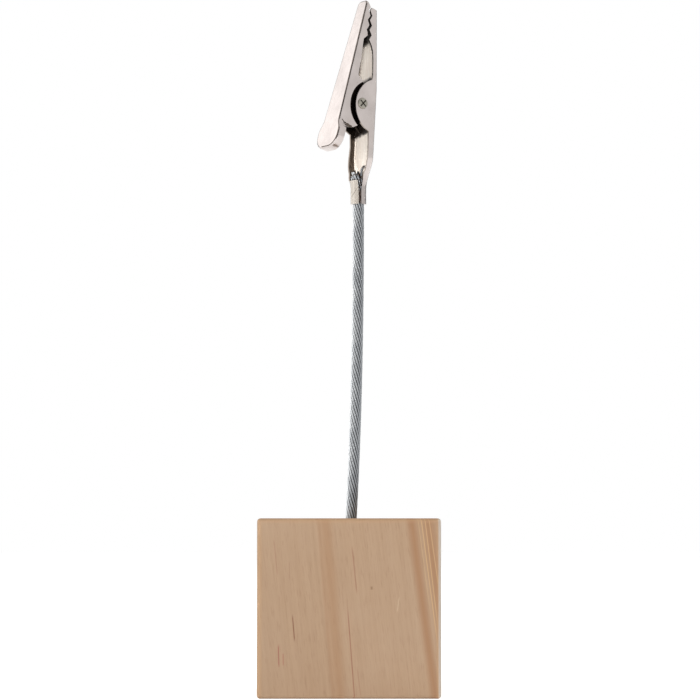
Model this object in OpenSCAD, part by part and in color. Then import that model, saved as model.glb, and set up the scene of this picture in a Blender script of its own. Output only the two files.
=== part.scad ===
// Memo clip holder: an alligator clip on a wire rope that stands in a wooden block.
// Millimetres, +Z up. The origin is the middle of the block's underside.

/* [Block] */
// Width and depth of the wooden block
block_w = 40; // [24:1:80]
// Height of the block
block_h = 39; // [26:1:80]
// Rounding of the block's edges
block_edge = 0.8; // [0.3:0.1:3]
// Depth of the blind hole that holds the rope
socket_depth = 15; // [8:1:22]
// Gap between the rope and the wall of its hole
socket_gap = 0.2; // [0.18:0.02:0.5]

/* [Wire rope] */
// Diameter over the outer wires
rope_d = 2.6; // [1.6:0.1:3.4]
// Number of outer wires
rope_wires = 12; // [8:1:14]
// Length in which an outer wire goes once round
rope_lay = 21.6; // [14:0.2:40]
// Length of rope between the block and the clip
rope_free = 71; // [30:1:160]
// Sideways place of the rope where it leaves the block
rope_foot = 0.45; // [0:0.05:2]
// Lean of the rope where it leaves the block, in degrees
rope_lean = 3.15; // [0:0.05:4]
// Length of rope that shows above the barrel's wing
rope_stub = 1.5; // [0.5:0.1:3]

/* [Clip] */
// Thickness of the sheet metal
sheet = 0.45; // [0.3:0.05:0.55]
// Outside radius of the bends along both jaws
bend_r = 0.65; // [0.6:0.05:1.1]
// Turn of the clip about the rope, in degrees
clip_turn = 34; // [0:1:90]
// Sideways place of the clip's axis
clip_shift = 2.1; // [0:0.1:4]
// Height of the pivot over the foot of the barrel
pivot_h = 22.5; // [20:0.5:28]
// Distance of the pivot in front of the barrel's axis
pivot_out = 1.45; // [0.8:0.05:2]
// Lean of the line from the pivot through the teeth, in degrees
mouth_lean = 9.35; // [4:0.05:12]
// Distance from the pivot to the nose along that line
jaw_len = 22.8; // [19:0.1:30]
// Gap between faces that slide or turn on each other
side_gap = 0.1; // [0.05:0.01:0.15]

/* [Teeth] */
// Number of teeth on the fixed jaw
teeth = 4; // [2:1:5]
// Distance from tooth to tooth
tooth_pitch = 2.3; // [1.6:0.1:2.6]
// Height of a tooth
tooth_depth = 0.6; // [0.3:0.05:0.9]
// Gap between the two rows of teeth at the nose
mouth_gap = 0.3; // [0.2:0.05:0.8]
// Angle by which the two rows part towards the pivot, in degrees
mouth_wedge = 3; // [0:0.5:5]

/* [Fixed jaw] */
// Length of the barrel that is crimped round
barrel_len = 3.5; // [3:0.1:6]
// Length in which the sheet widens from the barrel to the tail
taper_len = 7.5; // [5:0.1:8]
// Gap between the rope and the barrel
crimp_gap = 0.02; // [0.01:0.01:0.05]
// Width of the barrel's open seam
seam_w = 0.65; // [0.3:0.05:1]
// Amount by which each side of the seam bends away at its top
seam_flare = 0.3; // [0:0.05:0.5]
// Direction of the seam, from the near flange towards the open side, in degrees
seam_turn = 22; // [0:1:80]
// Outer width of the tail and over the ears
tail_w = 7.7; // [6.9:0.1:8.4]
// Lean of the straight back, in degrees
back_lean = 3.6; // [1:0.05:5]
// Outer width at the nose
nose_w = 4.3; // [3.6:0.1:5]
// Radius of the round ears
ear_r = 6.4; // [6:0.05:7.2]
// Distance from the pivot to the front of the ear
ear_reach = 1.8; // [1.4:0.05:2.4]
// Distance of the tail's free edge behind the barrel's axis
tail_edge = 0.2; // [0:0.05:0.6]

/* [Moving jaw] */
// Distance from the pivot to the outer face of the web
web_out = 4.57; // [4.2:0.01:5.2]
// Depth of the jaw at its nose, from the line through the teeth to the web's outer face
nose_depth = 1.5; // [1.3:0.05:1.8]
// Width of the thumb pad
pad_w = 8.7; // [7.6:0.1:10]
// Distance from the pivot to the end of the thumb pad
pad_end = 12.1; // [11.8:0.1:14]
// Radius of the pad's corners
pad_corner = 3.1; // [2:0.1:3.1]
// Height of the pad's rim
rim_h = 1.85; // [1.2:0.05:2.1]
// Radius of the round field round the pivot that is pressed in
eye_field_r = 6.2; // [5.8:0.1:6.4]
// Depth to which that field is pressed in
eye_set = 0.48; // [0.3:0.02:0.6]
// Width of the crease pressed along the foot of each flange
crease_w = 0.3; // [0.2:0.05:0.5]
// Depth of that crease
crease_depth = 0.12; // [0.05:0.01:0.2]

/* [Rivet and spring] */
// Diameter of the rivet's shank
rivet_d = 1.5; // [1:0.05:1.8]
// Diameter of the rivet's heads
rivet_head_d = 2.6; // [2.3:0.05:3]
// Height of a rivet head
rivet_head_h = 0.3; // [0.2:0.05:0.6]
// Length of each stroke of the cross that stakes an end of the rivet
stake_len = 2; // [1:0.1:2]
// Width of such a stroke
stake_w = 0.3; // [0.15:0.05:0.4]
// Gap between the rivet and a hole that turns on it
rivet_gap = 0.05; // [0.02:0.01:0.08]
// Thickness of the spring wire
spring_wire = 0.7; // [0.4:0.05:0.75]
// Radius of the coil to the middle of its wire
coil_r = 1.6; // [1.5:0.05:2]
// Whole turns of the coil
coil_turns = 3; // [2:1:3]

/* [Hidden] */
fine = 64;
// Overshoot of the cutting shapes
over = 1;
// Length that keeps the corners of a rounded outline apart
hair = 0.01;

// Steps of the curves: in a rounded corner, a bend, the ear, the eye and the pad
corner_steps = 6;
bend_steps = 5;
ear_steps = 30;
eye_steps = 12;
pad_steps = 7;
fillet_steps = 4;
nose_steps = 5;
// Steps in one lay of the rope, in the taper, round the spring's wire and in one of its turns
lay_steps = 12;
taper_steps = 8;
wire_sides = 8;
coil_steps = 14;

// Rope: size and ring of the outer wires
wire_r = rope_d / 2 / (1 + 1 / sin(180 / rope_wires));
wire_ring_r = rope_d / 2 - wire_r;
// Length in its hole over which the rope comes upright, and the hole's place
settle_len = 5;
socket_x = rope_foot - tan(rope_lean) * settle_len / 2;
// Heights of the rope's foot, of the clip's foot and of the top of the barrel's wing over that
rope_z0 = block_h - socket_depth;
clip_z = block_h + rope_free;
wing_foot = barrel_len + taper_len / 4;
rope_z1 = clip_z + wing_foot + rope_stub;

// Barrel radii and the height at which the straight back starts
barrel_in_r = rope_d / 2 + crimp_gap;
barrel_r = barrel_in_r + sheet;
tail_foot = barrel_len + taper_len;
ear_half = tail_w / 2;
ear_in = ear_half - sheet;
// Angle between the web and the line through the teeth, and the web's own lean
web_angle = asin((web_out - nose_depth) / jaw_len);
lever_lean = mouth_lean + web_angle;
// Middle of the mouth, across from the line through the pivot
tooth_line = -0.22;
// Land at the nose before the first tooth, then the first and the last tooth
nose_land = 0.75;
first_tooth = jaw_len - nose_land;
teeth_end = first_tooth - (teeth - 1) * tooth_pitch;
// Centre of the ear's arc under the pivot, and where that arc ends at its top
ear_drop = 0.5;
ear_x = ear_r - ear_reach - pivot_out;
ear_end_x = 1.3;
// Heights at which the fixed jaw starts to narrow, has its waist and ends
ear_top_h = pivot_h + 3.5;
waist_h = pivot_h + 11;
waist_half = nose_w / 2 + 1.1;
nose_h = pivot_h + jaw_len;
// Fall of the nose's end towards the back
nose_fall = 2.5;
// Reach of an outline beyond the sheet
side_far = 12;
// Free edge of the fixed jaw, as [x, height over the barrel's wing], and how the near side is cut back
wing_edge = [[-1.2, -hair], [-1.05, 0.9], [-0.8, 1.75], [-0.7, 2.75], [-0.2, 5.2], [tail_edge, 8.2]];
near_edge = [[-0.2, -hair], [-0.25, 1.5], [-0.05, 2.3], [0, 4.2], [tail_edge, 8.2]];
// Edge of the fixed jaw from the ear to the teeth, as [across the mouth, along it]
window_edge = [[1.95, 6.8], [1.6, teeth_end - 4.3], [1.3, teeth_end - 2.4], [0.75, teeth_end - 1.1]];
// Length over which the seam parts at its top
flare_len = 2.2;

// Moving jaw: half widths at the nose and the foot, and their distances from the pivot
lever_nose_half = nose_w / 2 - side_gap;
lever_foot_half = ear_in - side_gap;
lever_foot = -4.7;
lever_nose = jaw_len * cos(web_angle) + 1.7;
lever_taper = (lever_foot_half - lever_nose_half) / (lever_nose - lever_foot);
// Radius of the nose's corners
nose_round = 1.2;
// Distance from the pivot to the middle of the pad's side, and the radius of the hollow beside it
pad_mid = 8.2;
pad_fillet = 3;
// Height over the web at which the pad's rim has drawn in to the flanges
flare_end = 2.95;
foot_half = lever_half(lever_foot) + 0.05;
// Part of the rim that stands straight before the pad, and the rise of the rim to the pad's end
rim_run = 1.2;
rim_rise = 0.25;
// Lines of the flanges from the pivot, as [away from the web, along it]: crease, dip over the eye, foot
crease = [[-3.9, -5.3], [-3.2, -5.8], [-2.2, -5.8], [-0.9, -5.6]];
flange_dip = [[-1.47, 6.5], [-0.84, 5.9], [-0.1, 5.5]];
flange_foot = [[0.9, -4.7], [0.35, -5.25], [-0.6, -6], [-1.9, -6.4]];
// Edge of the flange behind its teeth, as [across from the row, along from the last tooth]
flange_window = [[-0.85, -1.5], [-0.85, -4]];
// Amount by which the last tooth's root is deeper
root_dip = 0.5;
// Pressed field: its middle from the pivot, its faces, the ring where its wall meets the flange
eye_x = 3.35;
eye_z = 0.5;
eye_face = lever_half(0) - eye_set;
eye_back = eye_face - sheet;
eye_ring = lever_half(0) - sheet / 2;
// Radius of the boss round the rivet, radius of the flange's end round it and half its angle
eye_boss_r = 1.6;
eye_r = 3;
eye_half_turn = 55;

// Spring: gap between its turns, and the ends of its two legs from the pivot
coil_gap = 0.05;
coil_pitch = spring_wire + coil_gap;
leg_a_len = 7.5;
leg_a = turned([sheet + spring_wire / 2 - web_out, -leg_a_len], lever_lean);
leg_b_len = 5.8;
leg_b_h = pivot_h - leg_b_len;
leg_b = [back_x(leg_b_h) - sheet - spring_wire / 2 + pivot_out, leg_b_h - pivot_h];
// Angles at which the legs leave the coil, its sweep and its length along the rivet
coil_a = tangent_angle(leg_a);
coil_b = tangent_angle(leg_b);
coil_sweep = coil_a - coil_b + 360 * coil_turns;
coil_len = coil_pitch * coil_sweep / 360;

function mix(a, b, t) = a + (b - a) * t;
function clamped(t) = min(max(t, 0), 1);
function smooth(t) = t * t * (3 - 2 * t);
function unit(v) = v / norm(v);
// A point [x, z] of the side view, leaned towards +X by an angle
function turned(p, ang) = [p[0] * cos(ang) + p[1] * sin(ang), p[1] * cos(ang) - p[0] * sin(ang)];
// A point [across, along] of the mouth, as a point of the clip's side view
function at_mouth(p) = turned(p, mouth_lean) + [-pivot_out, pivot_h];
// Angle on the coil at which a leg that ends at p leaves it
function tangent_angle(p) =
    let (a = atan2(p[1], p[0]) - acos(coil_r / norm(p))) a < -180 ? a + 360 : a;

// Solid between closed rings of equally many points, counted anticlockwise from above
module skin(rings) {
    n = len(rings[0]);
    m = len(rings);
    walls = [for (j = [0 : m - 2], i = [0 : n - 1], k = [0, 1])
        let (a = j * n + i, b = j * n + (i + 1) % n)
        k == 0 ? [a, b + n, b] : [a, a + n, b + n]];
    caps = [[for (i = [0 : n - 1]) i], [for (i = [n - 1 : -1 : 0]) (m - 1) * n + i]];
    polyhedron([for (r = rings) each r], concat(caps, walls), convexity = 6);
}

// Extrusion across the clip of an outline drawn in the side view
module across(w) {
    rotate([90, 0, 0])
        linear_extrude(w, center = true)
            children();
}

// Round bar across the clip, from y = a to y = b on both sides
module both_sides(x, z, r, a, b) {
    for (side = [0, 180])
        translate([x, 0, z])
            rotate([90, 0, side])
                translate([0, 0, a])
                    cylinder(r = r, h = b - a, $fn = fine);
}

// Extrusion of an outline drawn in the side view, from y = a to y = b on both sides
module both_faces(a, b) {
    for (side = [-1, 1])
        translate([0, side * (a + b) / 2, 0])
            across(b - a)
                children();
}

module at_clip() {
    translate([clip_shift, 0, clip_z])
        rotate([0, 0, clip_turn])
            children();
}

module at_pivot() {
    at_clip()
        translate([-pivot_out, 0, pivot_h])
            children();
}

// Rounded rectangle in the plane, from x0 to x1, with a half width and a corner radius
function rounded(x0, x1, half, r) =
    [for (q = [0 : 3], i = [0 : corner_steps])
        let (a = 90 * (q + i / corner_steps), side = q < 2 ? 1 : -1)
        let (cx = q == 0 || q == 3 ? x1 - r : x0 + r)
        [cx + r * cos(a), side * (half - r) + r * sin(a)]];

// Rounded rectangle of two sizes, extruded about the middle
module rounded_bar(a, b, length, r) {
    linear_extrude(length, center = true)
        polygon(rounded(-a / 2, a / 2, b / 2, r));
}

// Box that stands on its base, with all its edges rounded
module rounded_box(w, h, r) {
    translate([0, 0, h / 2])
        intersection() {
            rounded_bar(w, w, h, r);
            rotate([90, 0, 0])
                rounded_bar(w, h, w, r);
            rotate([0, 90, 0])
                rounded_bar(h, w, w, r);
        }
}

module wood_block() {
    color([0.76, 0.64, 0.51])
        difference() {
            rounded_box(block_w, block_h, block_edge);
            translate([socket_x, 0, rope_z0])
                cylinder(r = rope_d / 2 + socket_gap, h = socket_depth + over, $fn = fine);
        }
}

// Sideways place of the rope's centre line at height z: straight in the hole, then one easy bend
function rope_x(z) =
    let (s = (z - block_h) / rope_free, lean = tan(rope_lean), in_hole = z - block_h + settle_len)
    z <= block_h - settle_len ? socket_x
    : z < block_h ? socket_x + lean * in_hole * in_hole / 2 / settle_len
    : s < 1 ? mix(rope_foot, clip_shift, smooth(s)) + lean * rope_free * s * (1 - s) * (1 - s)
    : clip_shift;

// Distance from the rope's axis to the outline of its outer wires, at an angle off a wire's middle
function wire_edge(off) =
    let (aside = wire_ring_r * sin(off))
    wire_ring_r * cos(off) + sqrt(max(wire_r * wire_r - aside * aside, 0));

module wire_rope() {
    step = 360 / rope_wires;
    count = ceil((rope_z1 - rope_z0) * lay_steps / rope_lay);
    // Three points across each wire, as shares of its step, from one valley to just before the next
    lobe = [-0.5, -0.17, 0.17];
    rings = [for (j = [0 : count])
        let (z = mix(rope_z0, rope_z1, j / count), twist = -360 * (z - rope_z0) / rope_lay)
        [for (w = [0 : rope_wires - 1], f = lobe)
            let (r = wire_edge(f * step), a = (w + f) * step + twist)
            [rope_x(z) + r * cos(a), r * sin(a), z]]];
    color([0.62, 0.65, 0.67])
        skin(rings);
}

// Outer face of the fixed jaw's back at height h over the barrel's foot
function back_x(h) = barrel_r + max(h - tail_foot, 0) * tan(back_lean);

// Half of the fixed jaw's outer width: it swells from the barrel to the tail and narrows beyond the ears
function fixed_half(h) =
    h < tail_foot ? mix(barrel_r, ear_half, smooth(clamped((h - barrel_len) / taper_len)))
    : h < ear_top_h ? ear_half
    : h < waist_h ? mix(ear_half, waist_half, (h - ear_top_h) / (waist_h - ear_top_h))
    : mix(waist_half, nose_w / 2, (h - waist_h) / (nose_h - waist_h));

// Closed channel of the fixed jaw, set in by a wall: round at the barrel, square and open further up
module channel(wall) {
    taper = [for (i = [0 : taper_steps]) barrel_len + taper_len * i / taper_steps];
    skin([for (h = concat(taper, [ear_top_h, waist_h, nose_h + over]))
        let (t = smooth(clamped((h - barrel_len) / taper_len)), r = mix(barrel_r - hair, bend_r, t))
        let (front = h <= wing_foot ? -barrel_r : -side_far / 2)
        [for (p = rounded(front + wall, back_x(h) - wall, fixed_half(h) - wall, r - wall)) [p[0], p[1], h]]]);
}

// Middle of the fixed jaw's row of teeth, across the mouth, at a place along it
function fixed_row(p) = tooth_line + mouth_gap / 2 + (jaw_len - p) * tan(mouth_wedge);

// Side view of the fixed jaw: up its free edges and round the ear to the nose, and back behind it
module fixed_outline() {
    ear_foot = 360 - acos((tail_edge - ear_x) / ear_r);
    ear_top = acos((ear_end_x - ear_x) / ear_r);
    row = [for (k = [teeth - 1 : -1 : 0], flank = [0, 1])
        let (p = first_tooth - (k - flank / 2) * tooth_pitch, q = flank == 0 ? -1 : 1)
        if (p < jaw_len) [fixed_row(p) + q * tooth_depth / 2, p]];
    nose = [[fixed_row(jaw_len) + tooth_depth / 4, jaw_len], [side_far, jaw_len - nose_fall]];
    polygon(concat(
        [[side_far, 0], [-side_far, 0], [-side_far, wing_foot - hair]],
        [for (p = wing_edge) p + [0, wing_foot]],
        arc([ear_x, pivot_h - ear_drop], ear_r, ear_foot, ear_top, ear_steps),
        [for (p = concat(window_edge, row, nose)) at_mouth(p)]));
}

// Part of the near side that is cut back over the seam, drawn in the side view
module near_trim() {
    polygon(concat(
        [[-side_far, wing_foot + near_edge[len(near_edge) - 1][1]], [-side_far, wing_foot - hair]],
        [for (p = near_edge) p + [0, wing_foot]]));
}

// Seam of the barrel, seen from its outside: it parts towards its top
module seam_outline() {
    top = wing_foot + over / 4;
    right = [[seam_w / 2, -over], [seam_w / 2, wing_foot - flare_len], [seam_w / 2 + seam_flare, top]];
    polygon(concat(right, [for (i = [len(right) - 1 : -1 : 0]) [-right[i][0], right[i][1]]]));
}

module fixed_jaw() {
    color([0.77, 0.74, 0.72])
        at_clip()
            difference() {
                intersection() {
                    union() {
                        cylinder(r = barrel_r, h = barrel_len, $fn = fine);
                        channel(0);
                    }
                    across(2 * tail_w)
                        fixed_outline();
                }
                translate([0, 0, -over])
                    cylinder(r = barrel_in_r, h = barrel_len + over, $fn = fine);
                channel(sheet);
                rotate([90, 0, -seam_turn])
                    linear_extrude(side_far)
                        seam_outline();
                translate([0, -barrel_in_r / 2 - side_far / 2, 0])
                    across(side_far)
                        near_trim();
                both_sides(-pivot_out, pivot_h, rivet_d / 2 + crimp_gap, ear_in - over, ear_half + over);
            }
}

// Half of the moving jaw's outer width at a distance from the pivot along its web
function lever_half(u) = lever_nose_half + (lever_nose - u) * lever_taper;

// Points of an arc round a centre, from angle a to angle b in n steps
function arc(centre, r, a, b, n) =
    [for (i = [0 : n])
        let (at = mix(a, b, i / n))
        centre + r * [cos(at), sin(at)]];

// Plan of the moving jaw as [across, along], set in by a wall, with a thumb pad of a given half width
function lever_plan(inset, pad) =
    let (neck = lever_half(lever_foot) + pad_fillet, mid = pad - pad_corner,
        rise = sqrt(pow(pad_corner + pad_fillet, 2) - pow(neck - mid, 2)), turn = atan2(rise, neck - mid),
        tip = lever_nose_half - nose_round,
        right = concat(
            arc([mid, pad_corner - pad_end], pad_corner - inset, -90, 0, pad_steps),
            arc([mid, -pad_mid], pad_corner - inset, 0, turn, fillet_steps),
            arc([neck, rise - pad_mid], pad_fillet + inset, 180 + turn, 180, fillet_steps),
            arc([tip, lever_nose - nose_round], nose_round - inset, 0, 90, nose_steps)))
    concat(right, [for (i = [len(right) - 1 : -1 : 0]) [-right[i][0], right[i][1]]]);

// Deep pan with a rounded bottom edge, open to +X: its bottom is the web, its pad narrows above the rim
module pan(wall) {
    r = bend_r - wall;
    bend = [for (p = arc([bend_r, bend_r], r, 180, 270, bend_steps)) [p[0], p[1], pad_w / 2]];
    sides = [[rim_h, wall, pad_w / 2], [flare_end, wall, foot_half], [side_far, wall, foot_half]];
    skin([for (l = concat(bend, sides))
        [for (p = lever_plan(l[1], l[2])) [l[0] - web_out, p[0], p[1]]]]);
}

// Middle of the moving jaw's row of teeth, across the mouth
lever_row = tooth_line - mouth_gap / 2;

// Side view of the moving jaw from its nose down the teeth, round the eye and along the rim
module lever_outline() {
    row = [for (k = [0 : teeth - 1], flank = [0, 1])
        let (p = first_tooth - (k + flank / 2) * tooth_pitch, q = flank == 0 ? -1 : 1)
        let (dip = k == teeth - 1 ? root_dip : 0)
        if (k < teeth - 1 || flank == 0) [lever_row + q * tooth_depth / 2 - dip, p]];
    window = [for (p = flange_window) p + [lever_row, teeth_end]];
    mouth = concat([[lever_row + tooth_depth / 4, jaw_len]], row, window, flange_dip);
    rim = rim_h - web_out;
    far = -web_out - over;
    low = -pad_end - over;
    polygon(concat(
        [[far, lever_nose + over]],
        [for (p = mouth) turned(p, -web_angle)],
        arc([0, 0], eye_r, eye_half_turn, -eye_half_turn, eye_steps),
        flange_foot,
        [[rim, rim_run - pad_mid], [rim, -pad_mid], [rim + rim_rise, low], [far, low]]));
}

// Narrow strip along the crease, drawn in the side view
module crease_outline() {
    up = [0, crease_w / 2];
    polygon(concat([for (p = crease) p + up], [for (i = [len(crease) - 1 : -1 : 0]) crease[i] - up]));
}

module moving_jaw() {
    color([0.85, 0.83, 0.81])
        at_pivot()
            rotate([0, lever_lean, 0])
                difference() {
                    intersection() {
                        union() {
                            difference() {
                                pan(0);
                                pan(sheet);
                            }
                            both_sides(eye_x, eye_z, eye_field_r + sheet, eye_back, eye_ring);
                        }
                        across(2 * tail_w)
                            lever_outline();
                    }
                    difference() {
                        both_sides(eye_x, eye_z, eye_field_r, eye_face, tail_w);
                        both_sides(0, 0, eye_boss_r, eye_back, ear_in - rivet_gap);
                    }
                    both_sides(0, 0, rivet_d / 2 + rivet_gap, 0, tail_w);
                    both_faces(foot_half - crease_depth, tail_w)
                        crease_outline();
                }
}

// Low head with a cross pressed into it
module rivet_head() {
    difference() {
        cylinder(d1 = rivet_head_d, d2 = rivet_head_d - rivet_head_h, h = rivet_head_h, $fn = fine);
        for (turn = [45, 135])
            rotate([0, 0, turn])
                translate([-stake_len / 2, -stake_w / 2, rivet_head_h / 2])
                    cube([stake_len, stake_w, rivet_head_h]);
    }
}

module pivot_rivet() {
    color([0.72, 0.70, 0.68])
        at_pivot() {
            rotate([90, 0, 0])
                cylinder(d = rivet_d, h = 2 * ear_half, center = true, $fn = fine);
            for (side = [-90, 90])
                rotate([side, 0, 0])
                    translate([0, 0, ear_half])
                        rivet_head();
        }
}

// Round wire of radius r along points whose run is square to the Y axis
module wire_along(path, r) {
    last = len(path) - 1;
    skin([for (j = [0 : last])
        let (t = unit(path[min(j + 1, last)] - path[max(j - 1, 0)]))
        let (n = unit(cross([0, 1, 0], t)), b = cross(t, n))
        [for (i = [0 : wire_sides - 1])
            let (a = 360 * i / wire_sides)
            path[j] + r * (n * cos(a) + b * sin(a))]]);
}

module torsion_spring() {
    steps = coil_steps * (coil_turns + 1);
    coil = [for (i = [0 : steps])
        let (s = i / steps, a = coil_a - coil_sweep * s)
        [coil_r * cos(a), coil_len * (s - 0.5), coil_r * sin(a)]];
    foot_a = [leg_a[0], -coil_len / 2, leg_a[1]];
    foot_b = [leg_b[0], coil_len / 2, leg_b[1]];
    color([0.5, 0.5, 0.5])
        at_pivot()
            wire_along(concat([foot_a], coil, [foot_b]), spring_wire / 2);
}

wood_block();
wire_rope();
fixed_jaw();
moving_jaw();
pivot_rivet();
torsion_spring();
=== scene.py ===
import math
import random

import bmesh
import bpy
from mathutils import Matrix, Vector


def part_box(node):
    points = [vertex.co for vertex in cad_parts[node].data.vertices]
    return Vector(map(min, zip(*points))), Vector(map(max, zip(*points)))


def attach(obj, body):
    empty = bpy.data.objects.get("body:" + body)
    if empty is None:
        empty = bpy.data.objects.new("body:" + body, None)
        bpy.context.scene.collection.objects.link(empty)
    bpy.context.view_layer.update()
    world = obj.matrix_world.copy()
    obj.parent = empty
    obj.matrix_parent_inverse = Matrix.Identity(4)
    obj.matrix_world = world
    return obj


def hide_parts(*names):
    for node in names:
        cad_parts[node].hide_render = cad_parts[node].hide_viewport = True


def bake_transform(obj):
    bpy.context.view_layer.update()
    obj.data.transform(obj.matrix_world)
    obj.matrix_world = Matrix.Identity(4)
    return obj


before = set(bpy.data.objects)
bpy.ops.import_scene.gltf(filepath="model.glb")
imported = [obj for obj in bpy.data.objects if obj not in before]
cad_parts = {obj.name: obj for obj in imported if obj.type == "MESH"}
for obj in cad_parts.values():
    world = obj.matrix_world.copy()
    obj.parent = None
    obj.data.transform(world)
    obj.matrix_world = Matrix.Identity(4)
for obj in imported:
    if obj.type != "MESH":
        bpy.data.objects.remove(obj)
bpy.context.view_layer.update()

# The block: a cube sawn from light pine with its grain upright, sanded, with softly rounded edges.
# It is bare wood, a little darker along a few growth rings, and it carries the whole holder.
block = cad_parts["wood_block"]
block_low, block_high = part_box("wood_block")
grain_lean = math.radians(6.5)
ring_spacing = 1 / 260
ring_bow = 0.3
ring_wander = 0.004
streak_bow = 0.6
# Depths under a face, from where the rubbing or the painted pale sheen starts to where it is full
side_rub = (0.0013, 0.0006)
top_rub = (0.0012, 0.0006)
sheen_strip = (0.0008, 0.0003)
sheen_front = (0.0013, 0.0009)


def add(tree, kind, values=None, links=None, **settings):
    """A new node with its settings, its plain socket values and its incoming links."""
    made = tree.nodes.new(kind)
    for name, value in settings.items():
        setattr(made, name, value)
    for name, value in (values or {}).items():
        made.inputs[name].default_value = value
    for name, source in (links or {}).items():
        tree.links.new(source, made.inputs[name])
    return made


def paint(red, green, blue):
    """A linear colour with alpha from the 0 to 255 values of a screen colour."""
    channels = [c / 255 for c in (red, green, blue)]
    return [c / 12.92 if c <= 0.04045 else ((c + 0.055) / 1.055) ** 2.4 for c in channels] + [1.0]


def ramp(tree, source, stops):
    """A colour ramp with the given (place, colour) stops."""
    made = add(tree, "ShaderNodeValToRGB", links={"Fac": source})
    while len(made.color_ramp.elements) < len(stops):
        made.color_ramp.elements.new(1.0)
    for element, (place, colour) in zip(made.color_ramp.elements, stops):
        element.position = place
        element.color = colour
    return made.outputs["Color"]


def grey(value):
    """A linear grey with alpha."""
    return [value, value, value, 1.0]


def mixed(tree, factor, low, high):
    """A colour mix by a factor socket; each side is a colour or a socket."""
    made = add(tree, "ShaderNodeMix", links={0: factor}, data_type="RGBA")
    first_colour, second_colour, colour_result = 6, 7, 2
    for index, side in ((first_colour, low), (second_colour, high)):
        if isinstance(side, list):
            made.inputs[index].default_value = side
        else:
            tree.links.new(side, made.inputs[index])
    return made.outputs[colour_result]


def maths(tree, operation, first, second=0.0, third=0.0):
    """A math node; each operand is a number or a socket."""
    made = add(tree, "ShaderNodeMath", operation=operation)
    for index, operand in enumerate((first, second, third)):
        if isinstance(operand, (int, float)):
            made.inputs[index].default_value = operand
        else:
            tree.links.new(operand, made.inputs[index])
    return made.outputs[0]


def spread(tree, value, start, end, low=0.0, high=1.0, eased=False):
    """How far a value is from a start to an end, as a number from low to high; all may be sockets."""
    made = add(tree, "ShaderNodeMapRange", interpolation_type="SMOOTHSTEP" if eased else "LINEAR")
    given = {"Value": value, "From Min": start, "From Max": end, "To Min": low, "To Max": high}
    for name, side in given.items():
        if isinstance(side, (int, float)):
            made.inputs[name].default_value = side
        else:
            tree.links.new(side, made.inputs[name])
    return made.outputs[0]


def noise(tree, place, scale, detail, stretch=None, roughness=0.5):
    """Cloudy noise over a place; a stretch scales the place first, so that the marks run upright."""
    if stretch:
        place = add(tree, "ShaderNodeMapping", {"Scale": stretch}, {"Vector": place}).outputs[0]
    return add(tree, "ShaderNodeTexNoise", {"Scale": scale, "Detail": detail, "Roughness": roughness},
               {"Vector": place}).outputs["Fac"]


def bumped(tree, shader, height, strength, distance):
    """Lets a height mask ripple the surface."""
    sizes = {"Strength": strength, "Distance": distance}
    bump = add(tree, "ShaderNodeBump", sizes, {"Height": height}).outputs[0]
    tree.links.new(bump, shader.inputs["Normal"])


def new_material(name):
    """A new material, its node tree, its Principled shader and the Object coordinates in it."""
    made = bpy.data.materials.new(name)
    made.use_nodes = True
    tree = made.node_tree
    return made, tree, tree.nodes["Principled BSDF"], add(tree, "ShaderNodeTexCoord").outputs["Object"]


def separate(tree, vector):
    """The X, Y and Z sockets of a vector."""
    return add(tree, "ShaderNodeSeparateXYZ", links={0: vector}).outputs


def grain_streak_group():
    """Mask of one upright streak: its place at the foot, lean, bow over the depth, width and two ends."""
    tree = bpy.data.node_groups.new("grain streak", "ShaderNodeTree")
    tree.interface.new_socket("Position", in_out="INPUT", socket_type="NodeSocketVector")
    for name in ("Foot", "Lean", "Bow", "Width", "Low", "High"):
        tree.interface.new_socket(name, in_out="INPUT", socket_type="NodeSocketFloat")
    tree.interface.new_socket("Mask", in_out="OUTPUT", socket_type="NodeSocketFloat")
    given = tree.nodes.new("NodeGroupInput").outputs
    axes = separate(tree, given["Position"])
    bowed = maths(tree, "MULTIPLY_ADD", axes["Y"], given["Bow"], axes["X"])
    shift = maths(tree, "MULTIPLY_ADD", axes["Z"], given["Lean"], bowed)
    off = maths(tree, "ABSOLUTE", maths(tree, "SUBTRACT", shift, given["Foot"]))
    side = spread(tree, off, 0.0, given["Width"], low=1.0, high=0.0, eased=True)
    middle = maths(tree, "MULTIPLY", maths(tree, "ADD", given["Low"], given["High"]), 0.5)
    half = maths(tree, "MULTIPLY", maths(tree, "SUBTRACT", given["High"], given["Low"]), 0.5)
    along = maths(tree, "ABSOLUTE", maths(tree, "SUBTRACT", axes["Z"], middle))
    full_share = 0.6
    full = maths(tree, "MULTIPLY", half, full_share)
    end = spread(tree, along, full, half, low=1.0, high=0.0, eased=True)
    leave = tree.nodes.new("NodeGroupOutput")
    tree.links.new(maths(tree, "MULTIPLY", side, end), leave.inputs["Mask"])
    return tree


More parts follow.
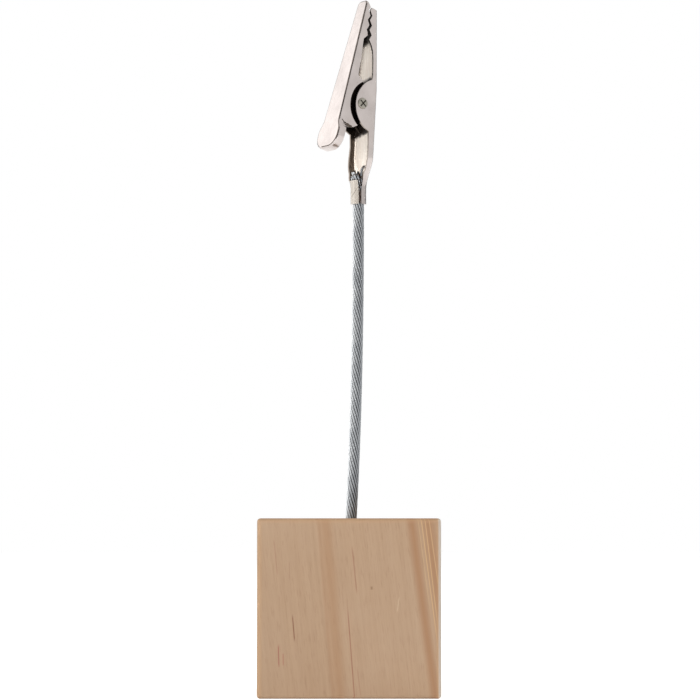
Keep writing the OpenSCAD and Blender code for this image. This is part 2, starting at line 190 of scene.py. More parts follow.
def pine():
    """Sanded pine: upright rings, fine fibres, a few darker streaks and flecks."""
    material, tree, shader, place = new_material("sanded pine")
    leaning = {"Rotation": (0.0, grain_lean, 0.0)}
    upright = add(tree, "ShaderNodeMapping", leaning, {"Vector": place}).outputs[0]

    axes = separate(tree, upright)
    bowed = maths(tree, "MULTIPLY_ADD", axes["Y"], ring_bow, axes["X"])
    wander = noise(tree, upright, 40.0, 1.0, stretch=(1.0, 1.0, 0.15))
    ring_place = maths(tree, "MULTIPLY_ADD", wander, ring_wander, bowed)
    beyond_block = 0.1
    ring_count = maths(tree, "MULTIPLY", maths(tree, "ADD", ring_place, beyond_block), 1 / ring_spacing)
    ring_stops = [(0.0, grey(0.1)), (0.2, grey(0.0)), (0.8, grey(0.08)), (1.0, grey(0.18))]
    ring_tone = ramp(tree, maths(tree, "FRACT", ring_count), ring_stops)

    fibre = noise(tree, upright, 1500.0, 4.0, stretch=(1.0, 1.0, 0.035), roughness=0.65)
    pore = noise(tree, upright, 3200.0, 2.0, stretch=(1.0, 1.0, 0.1))
    cloud = noise(tree, upright, 45.0, 3.0)

    tan = mixed(tree, ring_tone, paint(182, 153, 125), paint(162, 129, 98))
    tan = mixed(tree, ramp(tree, fibre, [(0.35, grey(0.0)), (0.7, grey(0.4))]), tan, paint(166, 136, 110))
    tan = mixed(tree, ramp(tree, pore, [(0.55, grey(0.0)), (0.72, grey(0.5))]), tan, paint(158, 124, 98))
    tan = mixed(tree, ramp(tree, cloud, [(0.4, grey(0.0)), (0.65, grey(0.3))]), tan, paint(187, 160, 135))
    streak = grain_streak_group()
    # Each streak: place at the foot, lean in degrees, width, lowest and highest point, colour, strength
    streaks = [
        (-0.0019, 4.9, 0.0021, -0.030, 0.070, paint(166, 126, 92), 0.5),
        (-0.0034, 4.9, 0.0006, -0.030, 0.070, paint(166, 126, 94), 0.35),
        (0.0187, 7.6, 0.0017, -0.030, 0.070, paint(164, 124, 92), 0.9),
        (0.0222, 7.6, 0.0024, -0.030, 0.070, paint(166, 126, 94), 0.9),
        (0.0012, 4.4, 0.0002, -0.004, 0.0215, paint(148, 92, 70), 0.8),
        (0.0026, 7.0, 0.0002, 0.0000, 0.0070, paint(158, 108, 84), 0.4),
        (0.0040, 5.8, 0.00022, 0.0220, 0.0335, paint(150, 98, 76), 0.7),
        (-0.0107, 5.0, 0.00022, 0.0120, 0.0185, paint(128, 80, 58), 0.85),
        (-0.0150, 1.5, 0.00022, 0.0065, 0.0120, paint(160, 92, 78), 0.8),
        (-0.0141, 1.0, 0.00025, 0.0070, 0.0100, paint(168, 104, 88), 0.6),
        (-0.0130, 5.5, 0.00022, 0.0260, 0.0350, paint(156, 112, 90), 0.5),
        (-0.0127, 0.5, 0.00022, 0.0255, 0.0300, paint(160, 122, 98), 0.45),
        (0.0049, 0.0, 0.00040, 0.0235, 0.0243, paint(132, 98, 72), 0.7),
        (0.0207, 7.4, 0.0002, 0.008, 0.060, paint(206, 172, 130), 0.8),
        (0.0211, 6.8, 0.0002, 0.012, 0.060, paint(206, 172, 130), 0.75),
        (0.0228, 8.0, 0.0002, 0.018, 0.060, paint(202, 170, 130), 0.7),
        (0.0200, 7.4, 0.00018, 0.016, 0.060, paint(200, 168, 128), 0.5),
        (0.0078, -8.0, 0.0002, 0.0185, 0.0222, paint(204, 180, 152), 0.6),
    ]
    for foot, lean, width, low, high, colour, strength in streaks:
        sizes = {"Foot": foot + streak_bow * block_low.y, "Lean": math.tan(math.radians(lean)),
                 "Bow": streak_bow, "Width": width, "Low": low, "High": high}
        mask = add(tree, "ShaderNodeGroup", sizes, {"Position": place}, node_tree=streak).outputs["Mask"]
        tan = mixed(tree, maths(tree, "MULTIPLY", mask, strength), tan, colour)

    # The sanded edges are rubbed a little warmer than the faces, and the right front edge carries a painted
    # pale sheen
    square = separate(tree, place)
    side_edge = [block_high.x - inset for inset in side_rub]
    beside = [spread(tree, maths(tree, "ABSOLUTE", square[axis]), *side_edge) for axis in "XY"]
    above = spread(tree, square["Z"], *(block_high.z - inset for inset in top_rub))
    corner = maths(tree, "MULTIPLY", beside[0], beside[1])
    rim = maths(tree, "MULTIPLY", above, maths(tree, "MAXIMUM", beside[0], beside[1]))
    rubbed = maths(tree, "MULTIPLY", maths(tree, "MAXIMUM", corner, rim), 0.4)
    tan = mixed(tree, rubbed, tan, paint(196, 156, 118))
    pale_sheen = spread(tree, square["X"], *(block_high.x - inset for inset in sheen_strip))
    at_front = spread(tree, square["Y"], *(block_low.y + inset for inset in sheen_front))
    tan = mixed(tree, maths(tree, "MULTIPLY", pale_sheen, at_front), tan, paint(216, 204, 190))
    tree.links.new(tan, shader.inputs["Base Color"])

    height = maths(tree, "MULTIPLY_ADD", fibre, 0.7, maths(tree, "MULTIPLY", pore, 0.3))
    bumped(tree, shader, height, 0.35, 0.00025)
    tree.links.new(ramp(tree, fibre, [(0.3, grey(0.62)), (0.7, grey(0.8))]), shader.inputs["Roughness"])
    return material


block.data.materials.clear()
block.data.materials.append(pine())

# The stem: galvanised wire rope of nineteen wires, one core, six round it and twelve outside.
# Its foot is glued into the block, its head is held in the clip's barrel, where the cut wires fray.
rope_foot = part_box("wire_rope")[0].z
block_top = block_high.z
rope_d = 0.0026
rope_lay = 0.0216
rope_foot_x = 0.00045
rope_lean = math.tan(math.radians(3.15))
settle_len = 0.005
clip_x = 0.0021
clip_turn = math.radians(34)
barrel_foot = 0.110
crimp_clean = 0.1130
wing_top = 0.115375
outer_wires = 12
inner_wires = 6
wire_r = rope_d / 2 / (1 + 1 / math.sin(math.pi / outer_wires))
drawn_r = 0.94 * wire_r
point_gap = 0.0005
# A cut wire goes on in small steps; its free length and the wave of its curl lie between two values
fray_step = 0.0001
fray_len = (0.0008, 0.0026)
fray_wave = (0.0014, 0.003)
# The wire that stands up beside the others: the length and the bend, in radians a metre, of each run
standing_wire = [(0.0010, 200), (0.0018, 0), (0.0014, 800)]
one_way = 1.0
# Fades of the painted shade in the barrel, at its foot and over the crimp, where the stains begin, and of
# the painted shade on the rope's right side from its middle
foot_fade, crimp_fade = 0.0004, 0.0006
side_shade_start, side_shade_full = -0.0010, 0.0004


def rope_x(z):
    """Sideways place of the rope's middle: straight in its hole, then one easy bend."""
    free = barrel_foot - block_top
    if z < block_top:
        settled = max(z - block_top + settle_len, 0.0)
        return rope_foot_x - rope_lean * settle_len / 2 + rope_lean * settled ** 2 / 2 / settle_len
    share = min((z - block_top) / free, 1.0)
    eased = share * share * (3 - 2 * share)
    return rope_foot_x + (clip_x - rope_foot_x) * eased + rope_lean * free * share * (1 - share) ** 2


def laid_wire(index, count, ring_r, top):
    """Points of one wire that winds left-handed round the rope's middle, up to a height."""
    steps = max(int((top - rope_foot) / point_gap), 2)
    points = []
    for step in range(steps + 1):
        z = rope_foot + (top - rope_foot) * step / steps
        turn = 2 * math.pi * (index / count - (z - rope_foot) / rope_lay)
        points.append(Vector((rope_x(z) + ring_r * math.cos(turn), ring_r * math.sin(turn), z)))
    return points


def frayed(points, length, curl, wave, axis):
    """The wire carried on past its lay for a length, while it curls to and fro about an axis."""
    heading = (points[-1] - points[-2]).normalized()
    for index in range(int(length / fray_step)):
        bend = curl * math.cos(2 * math.pi * index * fray_step / wave)
        heading = Matrix.Rotation(bend * fray_step, 3, axis) @ heading
        points.append(points[-1] + heading * fray_step)
    return points


def wire_piece(name, paths, radius, outside):
    """One curve object with a round wire along each path; the first ones lie outside."""
    curve = bpy.data.curves.new(name, "CURVE")
    curve.dimensions = "3D"
    curve.bevel_depth = radius
    curve.bevel_resolution = 2
    curve.use_fill_caps = True
    for index, path in enumerate(paths):
        spline = curve.splines.new("POLY")
        spline.material_index = 0 if index < outside else 1
        spline.points.add(len(path) - 1)
        for place, point in zip(spline.points, path):
            place.co = (*point, 1.0)
    made = bpy.data.objects.new(name, curve)
    bpy.context.scene.collection.objects.link(made)
    return made


out_of_clip = Vector((-math.cos(clip_turn), -math.sin(clip_turn), 0))
across_clip = Vector((-math.sin(clip_turn), math.cos(clip_turn), 0))
chance = random.Random(19)
wire_paths = []
standing = False
for index in range(outer_wires):
    leave = wing_top - chance.uniform(0.0, 0.0006)
    path = laid_wire(index, outer_wires, rope_d / 2 - wire_r, leave)
    side = (path[-1] - Vector((clip_x, 0, path[-1].z))).normalized()
    tilt = side.cross(Vector((0, 0, 1))).normalized()
    # Wires on the clip's open side curl less, so that they stay over the barrel
    open_side = max(side.dot(out_of_clip), 0.0)
    curl = chance.uniform(500, 1500) * chance.choice((-1, 1)) * (1 - 0.4 * open_side)
    length, wave = chance.uniform(*fray_len), chance.uniform(*fray_wave)
    at_right_front = side.x > 0.35 and side.y < -0.5
    if at_right_front and not standing:
        standing = True
        for run, bend in standing_wire:
            path = frayed(path, run, bend, one_way, Vector((0, 1, 0)))
        wire_paths.append(path)
    else:
        wire_paths.append(frayed(path, length, curl, wave, tilt))
for index in range(inner_wires):
    path = laid_wire(index, inner_wires, 2 * wire_r, wing_top + 0.0002)
    curl = chance.uniform(200, 800) * chance.choice((-1, 1))
    length, wave = chance.uniform(0.001, 0.0026), chance.uniform(*fray_wave)
    wire_paths.append(frayed(path, length, curl, wave, across_clip))
core = laid_wire(0, 1, 0.0, wing_top)
wire_paths.append(frayed(core, 0.0022, -500, 0.0024, across_clip))
rope = wire_piece("wire_rope_wires", wire_paths, drawn_r, outer_wires)


def between_wires(tree, place):
    """Mask of the grime and painted shade deep between the outer wires, and the sideways place from the
    rope's middle.
    """
    axes = separate(tree, place)
    eased = spread(tree, axes["Z"], block_top, barrel_foot, low=rope_foot_x, high=clip_x, eased=True)
    share = spread(tree, axes["Z"], block_top, barrel_foot)
    rest = maths(tree, "SUBTRACT", 1.0, share)
    bow = maths(tree, "MULTIPLY", maths(tree, "MULTIPLY", rest, rest), share)
    middle = maths(tree, "MULTIPLY_ADD", bow, rope_lean * (barrel_foot - block_top), eased)
    sideways = maths(tree, "SUBTRACT", axes["X"], middle)
    depth_squared = maths(tree, "MULTIPLY", axes["Y"], axes["Y"])
    out = maths(tree, "SQRT", maths(tree, "MULTIPLY_ADD", sideways, sideways, depth_squared))
    groove_bed, groove_top = rope_d / 2 - 0.9 * wire_r, rope_d / 2 - 0.35 * wire_r
    return spread(tree, out, groove_bed, groove_top, low=0.85, high=0.0, eased=True), sideways


def galvanised(name, dull, clean):
    """Drawn zinc-coated wire: cloudy grey metal, with grime and painted shade in its grooves, painted shade
    on its right side and in the crimp, and stains on its loose ends.
    """
    material, tree, shader, place = new_material(name)
    patches = noise(tree, place, 300.0, 2.0)
    drawn = noise(tree, place, 5000.0, 2.0, stretch=(1.0, 1.0, 0.15))
    zinc = ramp(tree, patches, [(0.3, dull), (0.7, clean)])
    height = separate(tree, place)["Z"]
    inside_barrel = spread(tree, height, barrel_foot, barrel_foot + foot_fade)
    below_frays = spread(tree, height, crimp_clean + crimp_fade, crimp_clean)
    # Painted shade: the wires held inside the barrel are darkened where the crimp shades them; the stains
    # on the loose ends above are real
    crimp_shade = maths(tree, "MULTIPLY", maths(tree, "MULTIPLY", inside_barrel, below_frays), 0.9)
    stained = spread(tree, noise(tree, place, 2600.0, 2.0), 0.53, 0.6)
    loose = spread(tree, height, crimp_clean, crimp_clean + crimp_fade)
    grime_and_shade = maths(tree, "MAXIMUM", crimp_shade, maths(tree, "MULTIPLY", stained, loose))
    groove_grime_and_shade, sideways = between_wires(tree, place)
    # Painted shade: the rope's right side is darkened as the side turned away from the light
    right_side_shade = spread(tree, sideways, side_shade_start, side_shade_full, high=0.79)
    zinc = mixed(tree, right_side_shade, zinc, paint(112, 115, 119))
    # Grime and painted shade in the grooves between the outer wires
    zinc = mixed(tree, groove_grime_and_shade, zinc, paint(56, 58, 60))
    tree.links.new(mixed(tree, grime_and_shade, zinc, paint(72, 54, 42)), shader.inputs["Base Color"])
    tree.links.new(maths(tree, "MULTIPLY_ADD", grime_and_shade, -0.8, 1.0), shader.inputs["Metallic"])
    tree.links.new(ramp(tree, drawn, [(0.3, grey(0.3)), (0.75, grey(0.42))]), shader.inputs["Roughness"])
    bumped(tree, shader, drawn, 0.05, 0.00004)
    return material


# The wires inside the rope are painted nearly black, as the shade deep inside it
for finish in (galvanised("galvanised wire", paint(194, 197, 200), paint(231, 233, 234)),
               galvanised("wire inside the rope in painted shade", paint(40, 38, 36), paint(62, 60, 58))):
    rope.data.materials.append(finish)
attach(rope, "stand")
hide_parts("wire_rope")

# The fixed jaw: one stamping of bright nickel-plated steel sheet, bent into a channel.
# Its foot is rolled into a barrel round the rope, its sides stand up as round ears for the rivet.
burr = 0.00006
weld_gap = 2e-6
flat_angle, edge_angle, crease_angle = (math.radians(degrees) for degrees in (1, 50, 28))
sheet = 0.00045
barrel_r = rope_d / 2 + 0.00002 + sheet
barrel_len = 0.0035
back_foot = 0.011
back_lean = math.tan(math.radians(3.6))
mouth_foot = 0.0345
pivot_out = 0.00145
pivot_h = 0.0225
# Heights from where the outside starts to dull down to where it is dullest
dull_foot = (0.1175, 0.1145)
# Zones of old grease and painted shade on the clip's inner faces: lower end, upper end and soft edge
grease_and_shade = [(0.1251, 0.1386, 0.0009), (0.1455, 0.1550, 0.0014)]
# Painted shade of the creases that the crimping tool left on the barrel's wing: foot, lean, lower and upper
# end
crease_shades = [(-0.0686, -0.62, 0.1115, 0.1139), (-0.1155, -1.04, 0.1126, 0.1142)]
# From the shared frame into the clip's own: X out of its back, Y across it and Z up from the barrel's foot
to_clip = Matrix.Rotation(-clip_turn, 4, "Z") @ Matrix.Translation((-clip_x, 0, -barrel_foot))
# Places in the list of the jaw's finishes
plate, lit_inside, shaded_side, sheared, crimped_wing, shaded_tooth_edge = range(6)


def finished_copy(node, name, edge, finish_of=None, cut=None, rolled=None):
    """A copy of a solid as a smooth skin with eased edges; finish_of picks each face's material.

    A cut (point, direction) lets two finishes meet there. Rolled gives the corners of a rolled face
    their true round normals.
    """
    skin = bmesh.new()
    skin.from_mesh(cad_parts[node].data)
    bmesh.ops.remove_doubles(skin, verts=skin.verts, dist=weld_gap)
    bmesh.ops.dissolve_limit(skin, angle_limit=flat_angle, verts=skin.verts, edges=skin.edges)
    if cut:
        everything = skin.verts[:] + skin.edges[:] + skin.faces[:]
        bmesh.ops.bisect_plane(skin, geom=everything, plane_co=cut[0], plane_no=cut[1])
    sharp = [line for line in skin.edges if line.is_manifold and line.calc_face_angle() > edge_angle]
    bmesh.ops.bevel(skin, geom=sharp, offset=edge, offset_type="OFFSET", affect="EDGES", segments=2,
                    profile=0.5, material=-1, clamp_overlap=True)
    for face in skin.faces:
        face.smooth = True
        if finish_of:
            face.material_index = finish_of(face.calc_center_median(), face.normal)
    mesh = bpy.data.meshes.new(name)
    skin.to_mesh(mesh)
    skin.free()
    mesh.set_sharp_from_angle(angle=crease_angle)
    made = bpy.data.objects.new(name, mesh)
    bpy.context.scene.collection.objects.link(made)
    flat = made.modifiers.new("flat faces stay flat", "WEIGHTED_NORMAL")
    flat.keep_sharp = True
    if rolled:
        corners = [(mesh.loops[index].vertex_index, face.normal)
                   for face in mesh.polygons for index in face.loop_indices]
        normals = [rolled(mesh.vertices[corner].co, normal) for corner, normal in corners]
        mesh.normals_split_custom_set([normal or Vector() for normal in normals])
        round_ones = {corner for (corner, _), normal in zip(corners, normals) if normal}
        group = made.vertex_groups.new(name="rolled")
        group.add(sorted(round_ones), 1.0, "REPLACE")
        flat.vertex_group = group.name
        flat.invert_vertex_group = True
    return made


def handling_group():
    """Fine scratches and cloudy handling marks of plated sheet, as two masks."""
    tree = bpy.data.node_groups.new("handling marks", "ShaderNodeTree")
    tree.interface.new_socket("Position", in_out="INPUT", socket_type="NodeSocketVector")
    tree.interface.new_socket("Scratch", in_out="OUTPUT", socket_type="NodeSocketFloat")
    tree.interface.new_socket("Cloud", in_out="OUTPUT", socket_type="NodeSocketFloat")
    place = tree.nodes.new("NodeGroupInput").outputs["Position"]
    drawn_out = {"Scale": (1.0, 1.0, 0.06), "Rotation": (0.0, 0.3, 0.0)}
    along = add(tree, "ShaderNodeMapping", drawn_out, {"Vector": place}).outputs[0]
    leave = tree.nodes.new("NodeGroupOutput")
    tree.links.new(noise(tree, along, 2600.0, 3.0), leave.inputs["Scratch"])
    tree.links.new(noise(tree, place, 260.0, 4.0), leave.inputs["Cloud"])
    return tree


handling = handling_group()


def nickel(name, light, dark, rough, dulled=None):
    """Nickel plate between a light and a dark tone, round a roughness; it may get duller down its foot."""
    material, tree, shader, place = new_material(name)
    marks = add(tree, "ShaderNodeGroup", links={"Position": place}, node_tree=handling)
    handled = ramp(tree, marks.outputs["Cloud"], [(0.35, grey(0.0)), (0.7, grey(1.0))])
    tone = mixed(tree, handled, light, dark)
    if dulled:
        tone = mixed(tree, spread(tree, separate(tree, place)["Z"], *dulled, high=0.24), tone, grey(0.0))
    tree.links.new(tone, shader.inputs["Base Color"])
    shader.inputs["Metallic"].default_value = 1.0
    gloss = ramp(tree, marks.outputs["Scratch"], [(0.3, grey(rough - 0.05)), (0.75, grey(rough + 0.07))])
    tree.links.new(gloss, shader.inputs["Roughness"])
    height = maths(tree, "MULTIPLY_ADD", marks.outputs["Scratch"], 0.15, marks.outputs["Cloud"])
    bumped(tree, shader, height, 0.15, 0.0003)
    return material


def fixed_jaw_finish(place, normal):
    """Which finish a face of the fixed jaw has: by where it lies and which way it looks."""
    here = to_clip @ place
    facing = to_clip.to_3x3() @ normal
    if here.z < wing_top - barrel_foot:
        outer_skin = math.hypot(here.x, here.y) > barrel_r - 0.3 * sheet
        away_from_rope = here.x * facing.x + here.y * facing.y >= 0
        on_wing = facing.x < -0.38 - 0.1 * facing.y
        return crimped_wing if outer_skin and away_from_rope and on_wing else plate
    back = barrel_r + max(here.z - back_foot, 0) * back_lean
    to_mouth = facing.x < -0.1
    if to_mouth and here.x > back - 2 * sheet:
        return lit_inside
    beside_back = facing.x < 0.5
    if abs(facing.y) < 0.35 and beside_back:
        return shaded_tooth_edge if here.z > mouth_foot else sheared
    return shaded_side if to_mouth or beside_back and facing.y * here.y < 0 else plate


def barrel_normal(corner, normal):
    """The round normal at a corner of a face of the rolled barrel, or None for another face."""
    here = to_clip @ corner
    outwards = to_clip.inverted().to_3x3() @ Vector((here.x, here.y, 0)).normalized()
    if here.z > barrel_len + burr or abs(outwards.dot(normal)) < 0.9:
        return None
    return outwards if outwards.dot(normal) > 0 else -outwards


def grease_and_shade_zones(tree, place, tone, dark, zones):
    """A tone darkened in slanting zones of old grease and painted shade, with ragged, soft ends."""
    axes = separate(tree, place)
    slant = maths(tree, "MULTIPLY_ADD", axes["X"], -0.3, axes["Z"])
    height = maths(tree, "MULTIPLY_ADD", noise(tree, place, 900.0, 2.0), 0.0010, slant)
    for low, high, soft in zones:
        above = spread(tree, height, low, low + soft, eased=True)
        below = spread(tree, height, high, high - soft, eased=True)
        tone = mixed(tree, maths(tree, "MULTIPLY", above, below), tone, dark)
    return tone


def dull_plate(name, light, dark, metallic, zones):
    """Matt plate with fine upright draw marks, with old grease and painted shade in the given zones."""
    material, tree, shader, place = new_material(name)
    drawn = noise(tree, place, 2600.0, 3.0, stretch=(1.0, 1.0, 0.04))
    tone = ramp(tree, drawn, [(0.38, dark), (0.6, light)])
    tree.links.new(grease_and_shade_zones(tree, place, tone, paint(30, 23, 18), zones), shader.inputs["Base Color"])
    shader.inputs["Metallic"].default_value = metallic
    tree.links.new(ramp(tree, drawn, [(0.3, grey(0.45)), (0.7, grey(0.6))]), shader.inputs["Roughness"])
    bumped(tree, shader, drawn, 0.2, 0.00005)
    return material


def scuffed_wing():
    """The barrel's wing, dulled by the crimping tool, with the painted shade of its slanting creases."""
    material = dull_plate("crimped wing", paint(209, 201, 191), paint(176, 167, 157), 0.2, [])
    tree = material.node_tree
    shader = tree.nodes["Principled BSDF"]
    place = add(tree, "ShaderNodeTexCoord").outputs["Object"]
    tone = shader.inputs["Base Color"].links[0].from_socket
    streak = bpy.data.node_groups["grain streak"]
    for foot, lean, low, high in crease_shades:
        sizes = {"Foot": foot, "Lean": lean, "Width": 0.00011, "Low": low, "High": high}
        mask = add(tree, "ShaderNodeGroup", sizes, {"Position": place}, node_tree=streak).outputs["Mask"]
        tone = mixed(tree, maths(tree, "MULTIPLY", mask, 0.85), tone, paint(84, 72, 62))
    tree.links.new(tone, shader.inputs["Base Color"])
    return material


light_nickel, dark_nickel = paint(200, 191, 187), paint(187, 178, 174)
jaw_finishes = [
    nickel("nickel plate, dull at its foot", light_nickel, dark_nickel, 0.2, dulled=dull_foot),
    # The inside of the back is painted nearly white, as the light that falls in there
    dull_plate("matt plate inside the back, painted lit", paint(255, 245, 233), paint(246, 233, 219), 0.0, grease_and_shade),
    dull_plate("shaded inner side", paint(100, 88, 76), paint(56, 46, 37), 0.6, grease_and_shade),
    nickel("sheared edge", paint(158, 147, 138), paint(128, 117, 107), 0.35),
    scuffed_wing(),
    # The tooth edges are greasy and painted dark as the shade in the mouth
    nickel("greased tooth edge in painted shade", paint(84, 72, 62), paint(52, 44, 37), 0.4),
]
fixed_jaw = finished_copy("fixed_jaw", "fixed_jaw_sheet", burr, fixed_jaw_finish, rolled=barrel_normal)
for finish in jaw_finishes:
    fixed_jaw.data.materials.append(finish)
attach(fixed_jaw, "stand")
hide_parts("fixed_jaw")

# The spring: drawn steel wire wound three times round the rivet between the jaws; it shuts the mouth.
# One leg presses on the channel's back, the other presses on the lever's web; in the real clip that leg
# goes with the lever and the coil twists when the mouth opens, but here the spring is one fixed piece that
# belongs to neither jaw.
small_burr = 0.00002


def oiled_steel_in_shade():
    """Oil-tempered spring wire, painted nearly black as the shade between the jaws, with a dull sheen."""
    material, tree, shader, place = new_material("oiled spring steel in painted shade")
    patches = noise(tree, place, 900.0, 3.0)
    tone = ramp(tree, patches, [(0.35, paint(34, 29, 25)), (0.7, paint(56, 49, 43))])
    tree.links.new(tone, shader.inputs["Base Color"])
    shader.inputs["Metallic"].default_value = 1.0
    tree.links.new(ramp(tree, patches, [(0.3, grey(0.35)), (0.7, grey(0.55))]), shader.inputs["Roughness"])
    return material


spring = finished_copy("torsion_spring", "torsion_spring_wire", small_burr)
spring_round = spring.modifiers.new("round wire", "SUBSURF")
spring_round.levels = 1
spring_round.render_levels = 1
spring.data.materials.append(oiled_steel_in_shade())
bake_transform(spring)
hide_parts("torsion_spring")

# The moving jaw: a narrower stamping that lies in the channel, with its web and thumb pad outside.
# Its flanges have a round field pressed in at each side, where they turn on the rivet.
lever_lean = math.radians(17.088)
web_out = 0.00457
nose_end, foot_end = 0.02429, -0.0047
nose_half, foot_half = 0.00205, 0.0033
field_x, field_z, field_r = 0.00335, 0.0005, 0.0062
channel_foot = -0.0066
crease_out = (-0.0042, -0.0006)
crease_along = (-0.0064, -0.0050)
surface_gap = 0.00004
bend_depth, under_web_depth = 0.00065, 0.0012
# Angles from the web between which the bend is painted dark as shade and dark reflection
shaded_bend = (18, 38)
# Places in the list of the lever's finishes
sheet_side, fold_line, inner_side, crease_line, field_floor = range(5)
# From the shared frame into the lever's own: X away from its web, Y across it, Z from the pivot to its nose
to_lever = Matrix.Rotation(-lever_lean, 4, "Y") @ Matrix.Translation((pivot_out, 0, -pivot_h)) @ to_clip


def lever_half(along):
    """Half of the lever's outer width at a distance from the pivot along its web."""
    return nose_half + (nose_end - along) * (foot_half - nose_half) / (nose_end - foot_end)


def moving_jaw_finish(place, normal):
    """Which finish a face of the moving jaw has: bright outside, painted dark as shade in its folds, its
    crease, its pressed field and inside.
    """
    here = to_lever @ place
    facing = to_lever.to_3x3() @ normal
    from_web = math.degrees(math.acos(max(min(-facing.x, 1.0), -1.0)))
    on_near_bend = here.x < bend_depth - web_out and here.y < 0.0004
    if on_near_bend and shaded_bend[0] < from_web < shaded_bend[1]:
        return fold_line
    sunk = abs(here.y) < lever_half(here.z) - surface_gap
    if sunk and math.hypot(here.x - field_x, here.z - field_z) < field_r + 0.00002:
        return field_floor
    under_web = facing.x > 0.7 and here.x < under_web_depth - web_out
    within = under_web or facing.y * here.y < 0 and from_web > 80
    if within and here.z > channel_foot:
        return inner_side
    beside_crease = crease_out[0] < here.x < crease_out[1]
    in_crease = beside_crease and crease_along[0] < here.z < crease_along[1]
    if sunk and in_crease and facing.y * here.y > 0:
        return crease_line
    return sheet_side


# Painted shade and dark reflection along the near bend and in the crease
fold_shade = dull_plate("fold and crease in painted shade", paint(92, 80, 71), paint(54, 45, 38), 0.2, [])
along_lever = to_lever.inverted().to_3x3() @ Vector((0, 0, 1))
pad_cut = (to_lever.inverted() @ Vector((0, 0, channel_foot)), along_lever)
moving_jaw = finished_copy("moving_jaw", "moving_jaw_sheet", burr, moving_jaw_finish, cut=pad_cut)
lever_finishes = [
    nickel("nickel plate", light_nickel, dark_nickel, 0.2),
    fold_shade,
    dull_plate("shaded inside of the lever", paint(100, 88, 76), paint(56, 46, 37), 0.6, grease_and_shade),
    fold_shade,
    # The pressed field is painted nearly black as the shade between the jaws
    nickel("pressed field in painted shade", paint(34, 27, 22), paint(22, 17, 14), 0.45),
]
for finish in lever_finishes:
    moving_jaw.data.materials.append(finish)
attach(moving_jaw, "lever")
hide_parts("moving_jaw")

# The rivet: a plain pin through both pairs of ears, spread at each end by a cross-shaped punch.
# It is plated a little duller than the jaws, and the strokes of the cross are painted dark as shade.
ear_half = 0.00385
head_h = 0.0003
cross_reach = 0.00106


def rivet_finish(place, normal):
    """The strokes of the punched cross are painted dark as shade, the rest is plate."""
    here = to_clip @ place + Vector((pivot_out, 0, -pivot_h))
    under_top = 0.4 * head_h < abs(here.y) - ear_half <= 0.9 * head_h
    return 1 if under_top and math.hypot(here.x, here.z) < cross_reach else 0


rivet = finished_copy("pivot_rivet", "pivot_rivet_pin", small_burr, rivet_finish)
for finish in (nickel("nickel plate of the rivet", paint(174, 169, 158), paint(140, 136, 126), 0.35),
               nickel("punched cross in painted shade", paint(62, 56, 48), paint(40, 35, 30), 0.5)):
    rivet.data.materials.append(finish)
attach(rivet, "stand")
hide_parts("pivot_rivet")

# The studio: a white floor, a long softbox and a strip on the left, a small fill and a spot from the
# front and a large fill from behind. Pale and dark cards, which only metal mirrors, shade the clip.
front_lamp = (-0.05, -1.3, 0.1)
floor_white = 0.86
floor_lift = 0.85
sky_on_object, sky_in_view = 0.2, 0.8


def plane(name, width, depth):
    """A flat rectangle round the origin, facing up."""
    flat = bmesh.new()
    bmesh.ops.create_grid(flat, x_segments=1, y_segments=1, size=0.5)
    bmesh.ops.scale(flat, vec=(width, depth, 1.0), verts=flat.verts)
    mesh = bpy.data.meshes.new(name)
    flat.to_mesh(mesh)
    flat.free()
    made = bpy.data.objects.new(name, mesh)
    bpy.context.scene.collection.objects.link(made)
    return made


floor = plane("floor", 8.0, 8.0)
floor_paint, tree, shader, _ = new_material("white floor")
tree.nodes.remove(shader)
path = add(tree, "ShaderNodeLightPath").outputs
seen = maths(tree, "MAXIMUM", path["Is Camera Ray"], path["Is Glossy Ray"])
matt = add(tree, "ShaderNodeBsdfDiffuse", {"Color": grey(floor_white)}).outputs[0]
lift = add(tree, "ShaderNodeEmission", {"Color": grey(1.0)},
           {"Strength": maths(tree, "MULTIPLY", seen, floor_lift)}).outputs[0]
both = add(tree, "ShaderNodeAddShader", links={0: matt, 1: lift}).outputs[0]
tree.links.new(both, tree.nodes["Material Output"].inputs["Surface"])
floor.data.materials.append(floor_paint)

world = bpy.data.worlds.new("studio")
bpy.context.scene.world = world
world.use_nodes = True
tree = world.node_tree
path = add(tree, "ShaderNodeLightPath").outputs
shown = maths(tree, "MAXIMUM", maths(tree, "MAXIMUM", path["Is Camera Ray"], path["Is Glossy Ray"]),
              path["Is Transmission Ray"])
strength = maths(tree, "MULTIPLY_ADD", shown, sky_in_view, sky_on_object)
tree.nodes["Background"].inputs["Color"].default_value = grey(1.0)
tree.links.new(strength, tree.nodes["Background"].inputs["Strength"])


def softbox(name, place, aim, width, height, watts, mirrored=True):
    """An area lamp at a place that faces a point; metal may mirror it or not."""
    lamp = bpy.data.lights.new(name, "AREA")
    lamp.shape = "RECTANGLE"
    lamp.size = width
    lamp.size_y = height
    lamp.energy = watts
    made = bpy.data.objects.new(name, lamp)
    made.location = place
    made.rotation_euler = (Vector(aim) - Vector(place)).to_track_quat("-Z", "Y").to_euler()
    made.visible_glossy = mirrored
    bpy.context.scene.collection.objects.link(made)


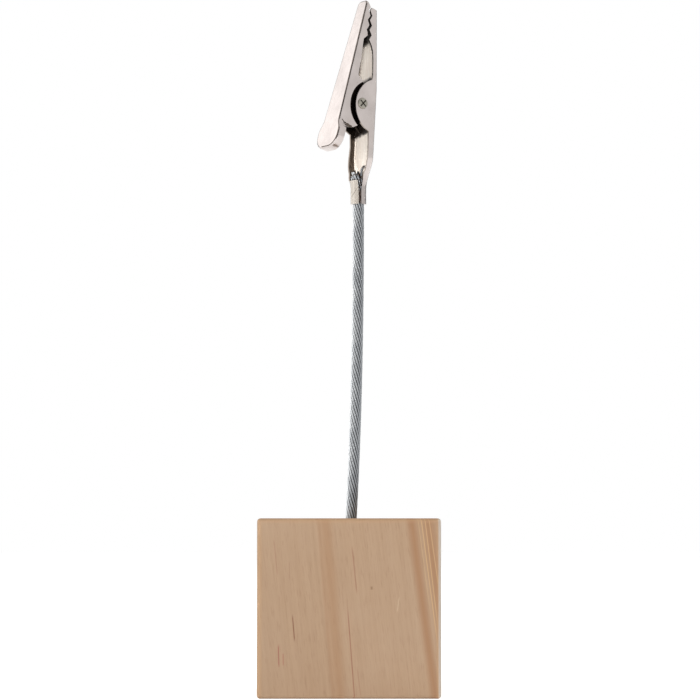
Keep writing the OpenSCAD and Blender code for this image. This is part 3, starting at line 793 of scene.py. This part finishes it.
softbox("left softbox", (-1.25, 0.1, 0.35), (0, 0, 0.1), 1.6, 1.1, 4.75)
softbox("left strip", (-1.0, -0.75, 0.3), (0, 0, 0.1), 0.5, 0.9, 6.0, mirrored=False)
softbox("front fill", front_lamp, (0, 0, 0.08), 0.3, 0.16, 8.4, mirrored=False)
softbox("back fill", (1.1, 1.0, 0.9), (0, 0, 0.05), 1.0, 1.0, 18.0, mirrored=False)

spot = bpy.data.lights.new("spot on the clip", "SPOT")
spot.energy = 17.0
spot.spot_size = math.radians(7)
spot.spot_blend = 0.6
spot.shadow_soft_size = 0.04
spot_lamp = bpy.data.objects.new("spot on the clip", spot)
spot_lamp.location = front_lamp
to_mid_clip = Vector((0, 0, 0.135)) - Vector(front_lamp)
spot_lamp.rotation_euler = to_mid_clip.to_track_quat("-Z", "Y").to_euler()
spot_lamp.visible_glossy = False
bpy.context.scene.collection.objects.link(spot_lamp)


def card(name, tone, bearing, distance, width, height):
    """An upright card that only mirrors see, at a bearing from the camera's side towards the right."""
    card_paint, _, shader, _ = new_material(name)
    shader.inputs["Base Color"].default_value = grey(tone)
    shader.inputs["Roughness"].default_value = 0.9
    made = plane(name, width, height)
    turn = Matrix.Rotation(math.radians(bearing), 4, "Z")
    upright = Matrix.Rotation(math.radians(90), 4, "X")
    foot_under_floor = 0.1
    stand_off = Matrix.Translation((0, -distance, height / 2 - foot_under_floor))
    made.data.transform(turn @ stand_off @ upright)
    made.data.materials.append(card_paint)
    made.visible_camera = False
    made.visible_diffuse = False
    made.visible_shadow = False


card("pale card on the left front", 0.85, -53, 1.25, 0.5, 0.9)
card("dark card beside the camera", 0.12, -27, 1.0, 0.75, 1.4)
card("pale card behind on the right", 0.7, 140, 1.1, 1.1, 1.2)
card("dark card far behind", 0.1, 203, 1.3, 0.5, 0.9)

# The camera stands where the photograph was taken from, level with the block's top and tipped up a little.
camera_pitch = math.radians(3.909)
lens = bpy.data.cameras.new("camera")
lens.sensor_width = 36
lens.lens = 137.07
lens.clip_start = 0.01
lens.clip_end = 20
camera = bpy.data.objects.new("camera", lens)
camera.location = (0.0002, -0.6, 0.036)
camera.rotation_euler = (math.pi / 2 + camera_pitch, 0, 0)
bpy.context.scene.collection.objects.link(camera)
bpy.context.scene.camera = camera
bpy.context.scene.view_settings.view_transform = "Standard"
